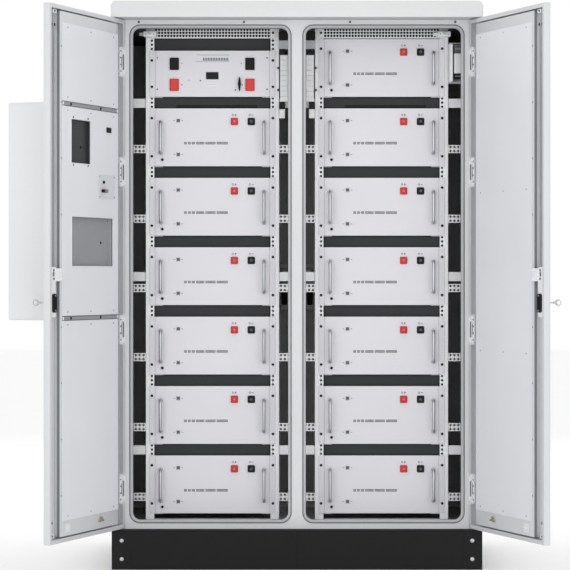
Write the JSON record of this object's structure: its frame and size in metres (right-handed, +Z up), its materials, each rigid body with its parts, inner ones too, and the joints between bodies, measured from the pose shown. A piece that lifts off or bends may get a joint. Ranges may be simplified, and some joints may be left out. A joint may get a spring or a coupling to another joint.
{
  "type": "server rack battery cabinet",
  "caption": "Outdoor two-bay cabinet with open doors, racks of slide-in battery modules, a control box, a door cooler and swing-handle locks.",
  "frame": {"origin": "centre of the plinth's footprint, on the floor", "axes": "+Z up, +X to the right as seen from the front doors, +Y from the front doors to the rear doors"},
  "size_m": [1.9915, 1.6785, 2.146],
  "materials": {
    "black_powder_coat": "black powder coat, fine texture",
    "cabinet_powder_coat": "light grey powder coat, fine orange peel",
    "door_powder_coat": "light grey powder coat, fine orange peel",
    "liner_powder_coat": "light grey powder coat, satin",
    "cooler_powder_coat": "light grey powder coat, satin",
    "rack_powder_coat": "light grey powder coat, satin",
    "module_powder_coat": "near-white powder coat, fine texture",
    "cell_aluminium": "film-wrapped drawn aluminium cans",
    "zinc_plated_steel": "bright zinc plate",
    "black_nylon": "moulded black nylon"
  },
  "bodies": {
    "cabinet": {"battery_01_case": "module_powder_coat", "battery_01_cells": "cell_aluminium", "battery_02_case": "module_powder_coat", "battery_02_cells": "cell_aluminium", "battery_03_case": "module_powder_coat", "battery_03_cells": "cell_aluminium", "battery_04_case": "module_powder_coat", "battery_04_cells": "cell_aluminium", "battery_05_case": "module_powder_coat", "battery_05_cells": "cell_aluminium", "battery_06_case": "module_powder_coat", "battery_06_cells": "cell_aluminium", "battery_07_case": "module_powder_coat", "battery_07_cells": "cell_aluminium", "battery_08_case": "module_powder_coat", "battery_08_cells": "cell_aluminium", "battery_09_case": "module_powder_coat", "battery_09_cells": "cell_aluminium", "battery_10_case": "module_powder_coat", "battery_10_cells": "cell_aluminium", "battery_11_case": "module_powder_coat", "battery_11_cells": "cell_aluminium", "battery_12_case": "module_powder_coat", "battery_12_cells": "cell_aluminium", "battery_13_case": "module_powder_coat", "battery_13_cells": "cell_aluminium", "cabinet_body": "cabinet_powder_coat", "control_case": "module_powder_coat", "control_contactors": "black_nylon", "front_frame": "cabinet_powder_coat", "plinth": "black_powder_coat", "rack_left_inner": "rack_powder_coat", "rack_left_outer": "rack_powder_coat", "rack_right_inner": "rack_powder_coat", "rack_right_outer": "rack_powder_coat", "rear_frame": "cabinet_powder_coat", "roof_canopy": "cabinet_powder_coat", "vent_panel_left": "rack_powder_coat", "vent_panel_right": "rack_powder_coat"},
    "door_left": {"cooler_case": "cooler_powder_coat", "door_liner_left": "liner_powder_coat", "front_door_left": "door_powder_coat"},
    "fan": {"cooler_fan": "black_nylon"},
    "door_right": {"door_liner_right": "liner_powder_coat", "front_door_right": "door_powder_coat"},
    "isolator": {"isolator_lever": "black_nylon"},
    "key_left": {"lock_key_left": "zinc_plated_steel"},
    "key_right": {"lock_key_right": "zinc_plated_steel"},
    "lever_left": {"lock_lever_left": "black_nylon"},
    "lever_right": {"lock_lever_right": "black_nylon"},
    "spindle_left": {"lock_spindle_left": "zinc_plated_steel"},
    "spindle_right": {"lock_spindle_right": "zinc_plated_steel"},
    "back_door_left": {"rear_door_left": "door_powder_coat"},
    "back_door_right": {"rear_door_right": "door_powder_coat"},
    "back_handle_left": {"rear_handle_left": "black_nylon"},
    "back_handle_right": {"rear_handle_right": "black_nylon"},
    "lower_rod_left": {"rod_lower_left": "zinc_plated_steel"},
    "lower_rod_right": {"rod_lower_right": "zinc_plated_steel"},
    "upper_rod_left": {"rod_upper_left": "zinc_plated_steel"},
    "upper_rod_right": {"rod_upper_right": "zinc_plated_steel"}
  },
  "joints": [
    {"name": "door_left_hinge", "type": "hinge", "parent": "cabinet", "child": "door_left", "pos_m": [-0.672, -0.487, 1.1], "axis": [0, 0, -1], "range_deg": [-109, 3]},
    {"name": "lock_left_turn", "type": "hinge", "parent": "door_left", "child": "spindle_left", "pos_m": [-0.88298, -1.06902, 1.1155], "axis": [-0.9455, 0.3256, 0], "range_deg": [0, 90]},
    {"name": "lever_left_tilt", "type": "hinge", "parent": "spindle_left", "child": "lever_left", "pos_m": [-0.89338, -1.06544, 1.1315], "axis": [0.3256, 0.9455, 0], "range_deg": [0, 35]},
    {"name": "key_left_turn", "type": "hinge", "parent": "lever_left", "child": "key_left", "pos_m": [-0.89338, -1.06544, 1.014], "axis": [-0.9455, 0.3256, 0], "range_deg": [0, 90]},
    {"name": "upper_rod_left_slide", "type": "slide", "parent": "door_left", "child": "upper_rod_left", "axis": [0, 0, -1], "range_m": [0, 0.018]},
    {"name": "lower_rod_left_slide", "type": "slide", "parent": "door_left", "child": "lower_rod_left", "axis": [0, 0, 1], "range_m": [0, 0.018]},
    {"name": "fan_spin", "type": "hinge", "parent": "door_left", "child": "fan", "pos_m": [-0.91753, -0.70864, 1.52], "axis": [-0.9455, 0.3256, 0], "continuous": true},
    {"name": "back_door_left_hinge", "type": "hinge", "parent": "cabinet", "child": "back_door_left", "pos_m": [-0.672, 0.487, 1.1], "axis": [0, 0, 1], "range_deg": [0, 110]},
    {"name": "back_handle_left_turn", "type": "hinge", "parent": "back_door_left", "child": "back_handle_left", "pos_m": [-0.053, 0.5, 1.1155], "axis": [0, 1, 0], "range_deg": [0, 90]},
    {"name": "door_right_hinge", "type": "hinge", "parent": "cabinet", "child": "door_right", "pos_m": [0.672, -0.487, 1.1], "axis": [0, 0, 1], "range_deg": [-109, 3]},
    {"name": "lock_right_turn", "type": "hinge", "parent": "door_right", "child": "spindle_right", "pos_m": [0.88298, -1.06902, 1.1155], "axis": [0.9455, 0.3256, 0], "range_deg": [0, 90]},
    {"name": "lever_right_tilt", "type": "hinge", "parent": "spindle_right", "child": "lever_right", "pos_m": [0.89338, -1.06544, 1.1315], "axis": [0.3256, -0.9455, 0], "range_deg": [0, 35]},
    {"name": "key_right_turn", "type": "hinge", "parent": "lever_right", "child": "key_right", "pos_m": [0.89338, -1.06544, 1.014], "axis": [0.9455, 0.3256, 0], "range_deg": [0, 90]},
    {"name": "upper_rod_right_slide", "type": "slide", "parent": "door_right", "child": "upper_rod_right", "axis": [0, 0, -1], "range_m": [0, 0.018]},
    {"name": "lower_rod_right_slide", "type": "slide", "parent": "door_right", "child": "lower_rod_right", "axis": [0, 0, 1], "range_m": [0, 0.018]},
    {"name": "back_door_right_hinge", "type": "hinge", "parent": "cabinet", "child": "back_door_right", "pos_m": [0.672, 0.487, 1.1], "axis": [0, 0, -1], "range_deg": [0, 110]},
    {"name": "back_handle_right_turn", "type": "hinge", "parent": "back_door_right", "child": "back_handle_right", "pos_m": [0.053, 0.5, 1.1155], "axis": [0, -1, 0], "range_deg": [0, 90]},
    {"name": "isolator_turn", "type": "hinge", "parent": "cabinet", "child": "isolator", "pos_m": [-0.221, -0.33, 1.8472], "axis": [0, -1, 0], "range_deg": [0, 90]}
  ],
  "couplings": [
    {"joint": "upper_rod_left_slide", "follows": "lock_left_turn", "m_per_rad": 0.01145},
    {"joint": "lower_rod_left_slide", "follows": "lock_left_turn", "m_per_rad": 0.01145},
    {"joint": "upper_rod_right_slide", "follows": "lock_right_turn", "m_per_rad": 0.01145},
    {"joint": "lower_rod_right_slide", "follows": "lock_right_turn", "m_per_rad": 0.01145}
  ]
}
